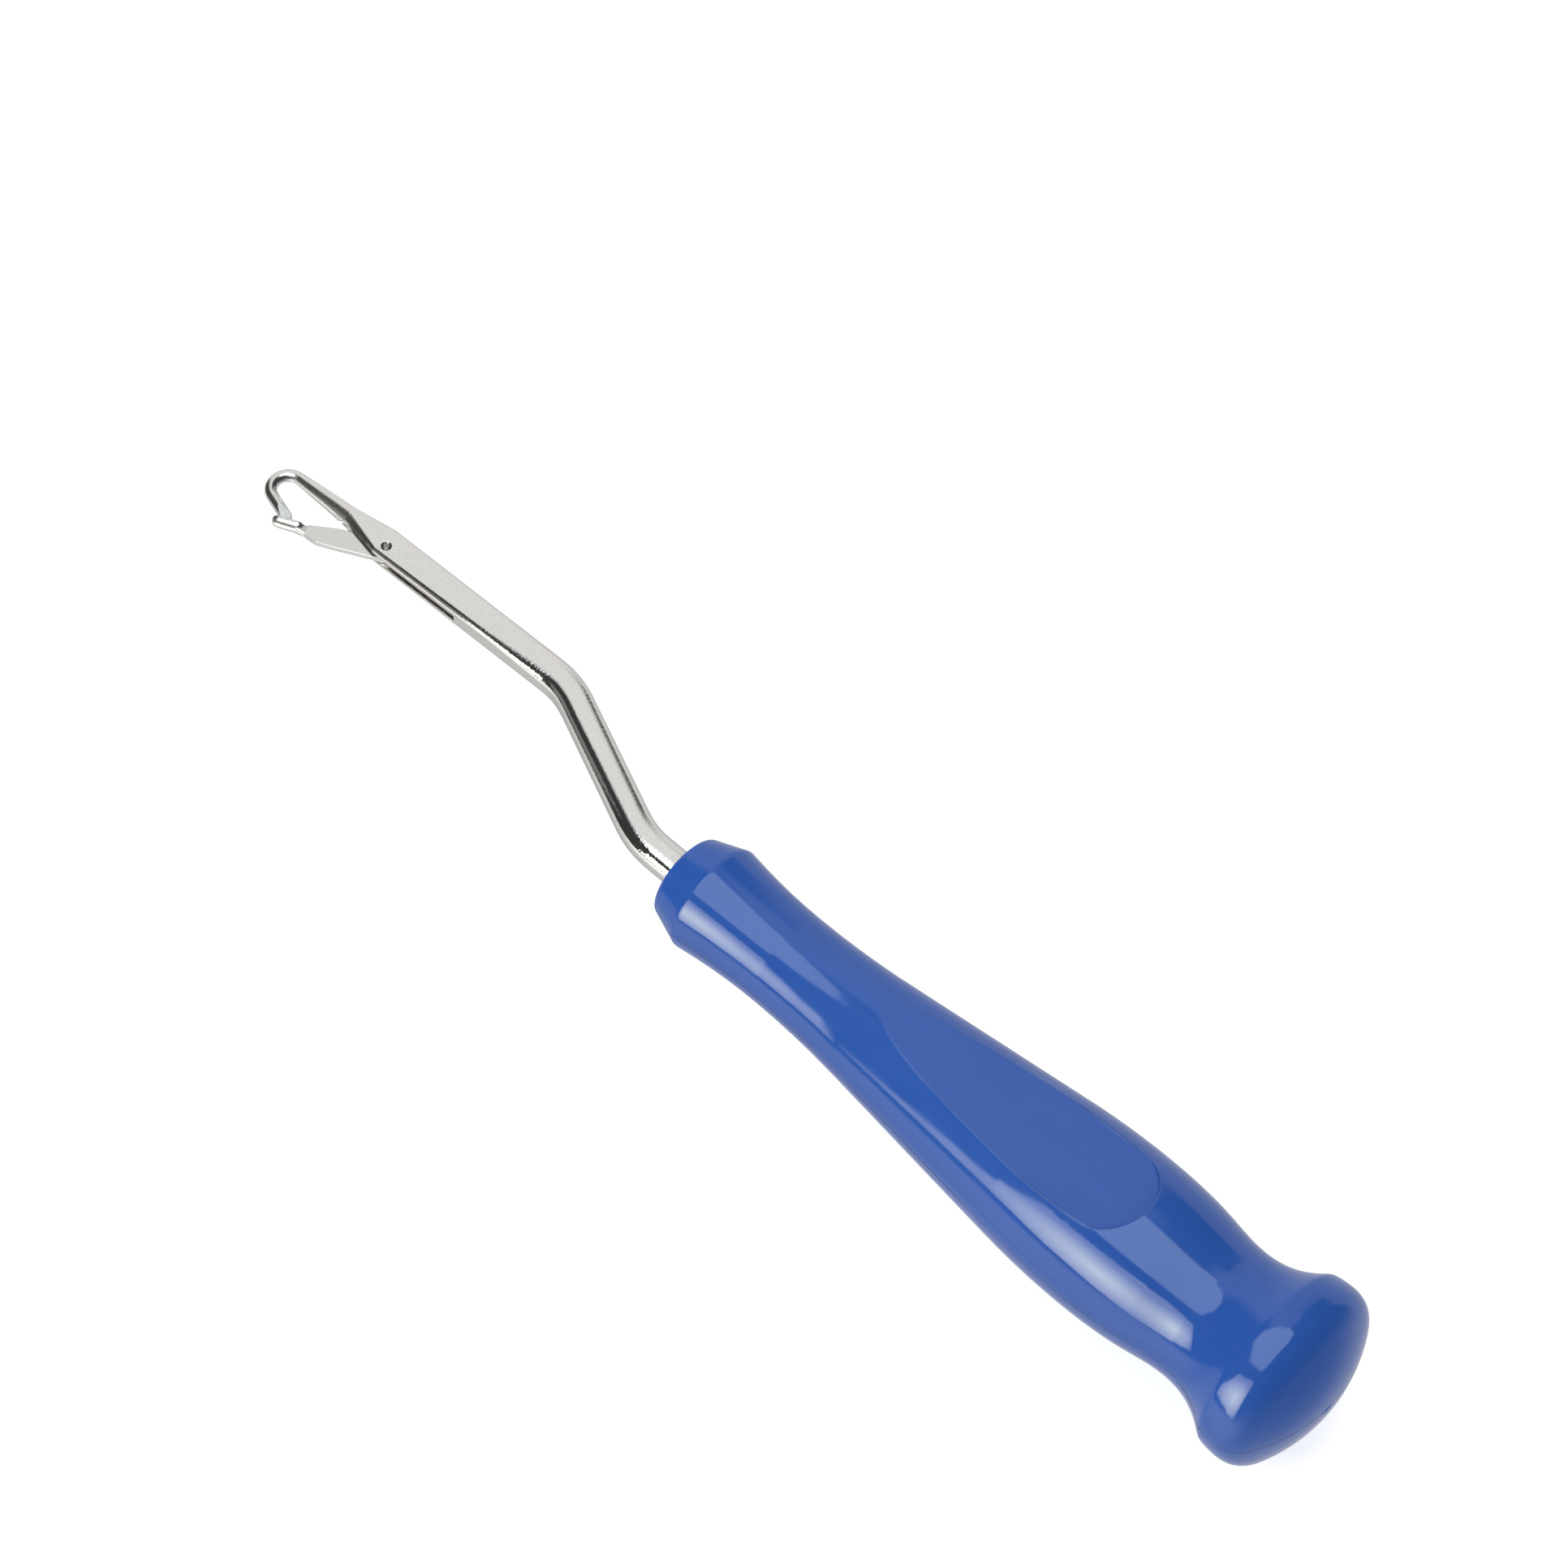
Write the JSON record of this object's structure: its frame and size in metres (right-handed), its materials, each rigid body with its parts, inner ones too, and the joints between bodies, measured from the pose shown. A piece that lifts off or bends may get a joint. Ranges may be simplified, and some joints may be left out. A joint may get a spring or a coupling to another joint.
{
  "type": "latch hook tool",
  "caption": "Cranked latch hook for pulling yarn through rug canvas: contoured moulded handle, flat-sided bent steel shank, and a curled hook that a swinging spoon-ended latch closes.",
  "frame": {"origin": "middle of the foot of the whole tool's box, with the handle's axis level", "axes": "+X along the handle's axis towards its butt, +Y towards the side that the shank is bent to, +Z square to the plane of the bends"},
  "size_m": [0.1672, 0.0232, 0.0231],
  "materials": {
    "handle_plastic": "glossy moulded",
    "plated_steel": "bright nickel plate",
    "latch_steel": "bright nickel plate",
    "rivet_steel": "plated and peened"
  },
  "bodies": {
    "handle_and_hook": {"handle": "handle_plastic", "hook_shank": "plated_steel", "rivet": "rivet_steel"},
    "latch": {"latch": "latch_steel"}
  },
  "joints": [
    {"name": "latch_hinge", "type": "hinge", "parent": "handle_and_hook", "child": "latch", "pos_m": [-0.06613, 0.00738, 0.01156], "axis": [0, 0, 1], "range_deg": [0, 140]}
  ]
}
